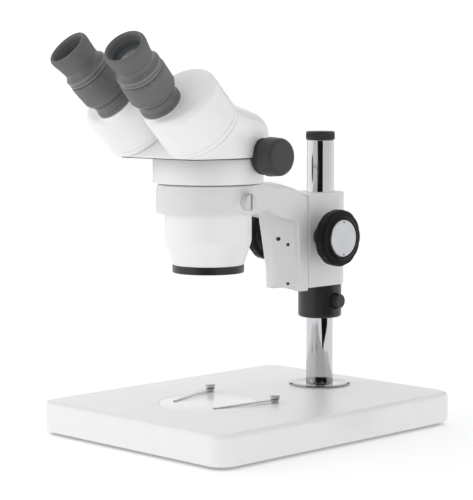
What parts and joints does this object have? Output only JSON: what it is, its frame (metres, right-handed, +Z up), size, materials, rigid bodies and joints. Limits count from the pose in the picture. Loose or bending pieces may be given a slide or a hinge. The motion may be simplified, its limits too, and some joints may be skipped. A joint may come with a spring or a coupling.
{
  "type": "stereo microscope",
  "caption": "Binocular zoom stereo microscope on a chromed pole stand with a focus block, holder ring and a wide flat base with an inset stage plate.",
  "frame": {"origin": "on the bench, under the middle of the outline of the whole microscope", "axes": "+Z up, the user sits at -Y, +X to the user's right, the YZ plane is the mid-plane of base, arm and head"},
  "size_m": [0.234, 0.345, 0.3561],
  "materials": {
    "cast_white": "fine satin powder coat",
    "arm_grey": "fine satin powder coat, light grey",
    "plate_white": "smooth white",
    "cover_grey": "matt grey",
    "rubber_black": "matt",
    "chrome": "polished",
    "steel": "turned",
    "brass": "turned",
    "black_metal": "satin black anodised look",
    "knob_black": "ribbed black plastic",
    "knob_grey": "knurled dark grey plastic",
    "disc_silver": "satin",
    "eyepiece_grey": "dark grey, lightly knurled",
    "lens": "coated"
  },
  "bodies": {
    "stand": {"base_casting": "cast_white", "base_cover": "cover_grey", "base_feet": "rubber_black", "base_screws": "steel", "stage_plate": "plate_white", "pole": "chrome", "pole_flange": "black_metal", "pole_bolt": "steel", "pole_cap": "black_metal"},
    "clip_left": {"clip_spring_left": "steel", "clip_post_left": "steel"},
    "clip_right": {"clip_spring_right": "steel", "clip_post_right": "steel"},
    "collar": {"stop_collar": "black_metal"},
    "collar_screw": {"collar_screw": "black_metal"},
    "focus_block": {"focus_housing": "arm_grey", "shaft_bushes": "brass", "slide_gib": "brass"},
    "clamp_screw": {"housing_clamp_screw": "knob_black"},
    "focus_drive": {"focus_shaft": "steel", "focus_pinion": "brass", "focus_knob_left": "knob_black", "focus_knob_right": "knob_black", "knob_discs": "disc_silver"},
    "arm": {"head_holder": "arm_grey", "focus_rack": "steel", "holder_screws": "black_metal"},
    "ring_screw": {"ring_screw": "arm_grey"},
    "head": {"lower_housing": "cast_white", "objective_ring": "black_metal", "objective_lenses": "lens", "upper_housing": "cast_white", "housing_screws": "steel", "zoom_rods": "steel", "zoom_bushes": "brass"},
    "zoom_drive": {"zoom_shaft": "steel", "zoom_pinion": "brass", "zoom_knob_left": "knob_grey", "zoom_knob_right": "knob_grey"},
    "zoom_carriage": {"zoom_carriage": "cover_grey", "zoom_rack": "steel", "zoom_lenses": "lens"},
    "prism_left": {"prism_box_left": "cast_white", "prism_plate_left": "cast_white", "erecting_prism_left": "lens", "eyepiece_tube_left": "eyepiece_grey"},
    "eyepiece_left": {"eyepiece_barrel_left": "eyepiece_grey", "eyecup_left": "rubber_black", "eye_lens_left": "lens"},
    "diopter_left": {"diopter_ring_left": "eyepiece_grey"},
    "prism_right": {"prism_box_right": "cast_white", "prism_plate_right": "cast_white", "erecting_prism_right": "lens", "eyepiece_tube_right": "eyepiece_grey"},
    "eyepiece_right": {"eyepiece_barrel_right": "eyepiece_grey", "eyecup_right": "rubber_black", "eye_lens_right": "lens"},
    "diopter_right": {"diopter_ring_right": "eyepiece_grey"}
  },
  "joints": [
    {"name": "clip_left_swing", "type": "hinge", "parent": "stand", "child": "clip_left", "pos_m": [-0.041, 0.013, 0.03], "axis": [0, 0, 1], "range_deg": [-70, 20]},
    {"name": "clip_right_swing", "type": "hinge", "parent": "stand", "child": "clip_right", "pos_m": [0.041, 0.013, 0.03], "axis": [0, 0, 1], "range_deg": [-20, 70]},
    {"name": "collar_height", "type": "slide", "parent": "stand", "child": "collar", "axis": [0, 0, 1], "range_m": [-0.055, 0.04]},
    {"name": "collar_screw_turn", "type": "hinge", "parent": "collar", "child": "collar_screw", "pos_m": [0, 0.1157, 0.11], "axis": [1, 0, 0], "range_deg": [0, 360]},
    {"name": "block_swing", "type": "hinge", "parent": "collar", "child": "focus_block", "pos_m": [0, 0.1157, 0.15], "axis": [0, 0, 1], "continuous": true},
    {"name": "clamp_screw_turn", "type": "hinge", "parent": "focus_block", "child": "clamp_screw", "pos_m": [0, 0.1157, 0.1715], "axis": [0, 1, 0], "range_deg": [0, 360]},
    {"name": "focus_travel", "type": "slide", "parent": "focus_block", "child": "arm", "axis": [0, 0, 1], "range_m": [-0.02, 0.02]},
    {"name": "focus_knob_turn", "type": "hinge", "parent": "focus_block", "child": "focus_drive", "pos_m": [0, 0.092, 0.1715], "axis": [1, 0, 0], "range_deg": [-175, 175]},
    {"name": "ring_screw_turn", "type": "hinge", "parent": "arm", "child": "ring_screw", "pos_m": [0, -0.029, 0.21], "axis": [1, 0, 0], "range_deg": [0, 360]},
    {"name": "head_turn", "type": "hinge", "parent": "arm", "child": "head", "pos_m": [0, -0.029, 0.2], "axis": [0, 0, 1], "range_deg": [-135, 135]},
    {"name": "zoom_travel", "type": "slide", "parent": "head", "child": "zoom_carriage", "axis": [0, 0, 1], "range_m": [-0.01, 0.01]},
    {"name": "zoom_turn", "type": "hinge", "parent": "head", "child": "zoom_drive", "pos_m": [0, -0.011, 0.2485], "axis": [1, 0, 0], "range_deg": [-115, 115]},
    {"name": "eye_spacing_left", "type": "hinge", "parent": "head", "child": "prism_left", "pos_m": [-0.03595, -0.07175, 0.27265], "axis": [-0.0523, -0.7159, 0.6962], "range_deg": [-25, 25]},
    {"name": "eyepiece_left_lift", "type": "slide", "parent": "prism_left", "child": "eyepiece_left", "axis": [-0.1167, -0.712, 0.6924], "range_m": [0, 0.045]},
    {"name": "diopter_left_turn", "type": "hinge", "parent": "eyepiece_left", "child": "diopter_left", "pos_m": [-0.0308, -0.12739, 0.31156], "axis": [-0.1167, -0.712, 0.6924], "range_deg": [-90, 90]},
    {"name": "eye_spacing_right", "type": "hinge", "parent": "head", "child": "prism_right", "pos_m": [0.03595, -0.07175, 0.27265], "axis": [0.0523, -0.7159, 0.6962], "range_deg": [-25, 25]},
    {"name": "eyepiece_right_lift", "type": "slide", "parent": "prism_right", "child": "eyepiece_right", "axis": [0.1167, -0.712, 0.6924], "range_m": [0, 0.045]},
    {"name": "diopter_right_turn", "type": "hinge", "parent": "eyepiece_right", "child": "diopter_right", "pos_m": [0.0308, -0.12739, 0.31156], "axis": [0.1167, -0.712, 0.6924], "range_deg": [-90, 90]}
  ],
  "couplings": [
    {"joint": "focus_knob_turn", "follows": "focus_travel", "rad_per_m": -148.15},
    {"joint": "zoom_turn", "follows": "zoom_travel", "rad_per_m": -200},
    {"joint": "eye_spacing_right", "follows": "eye_spacing_left", "ratio": -1}
  ]
}
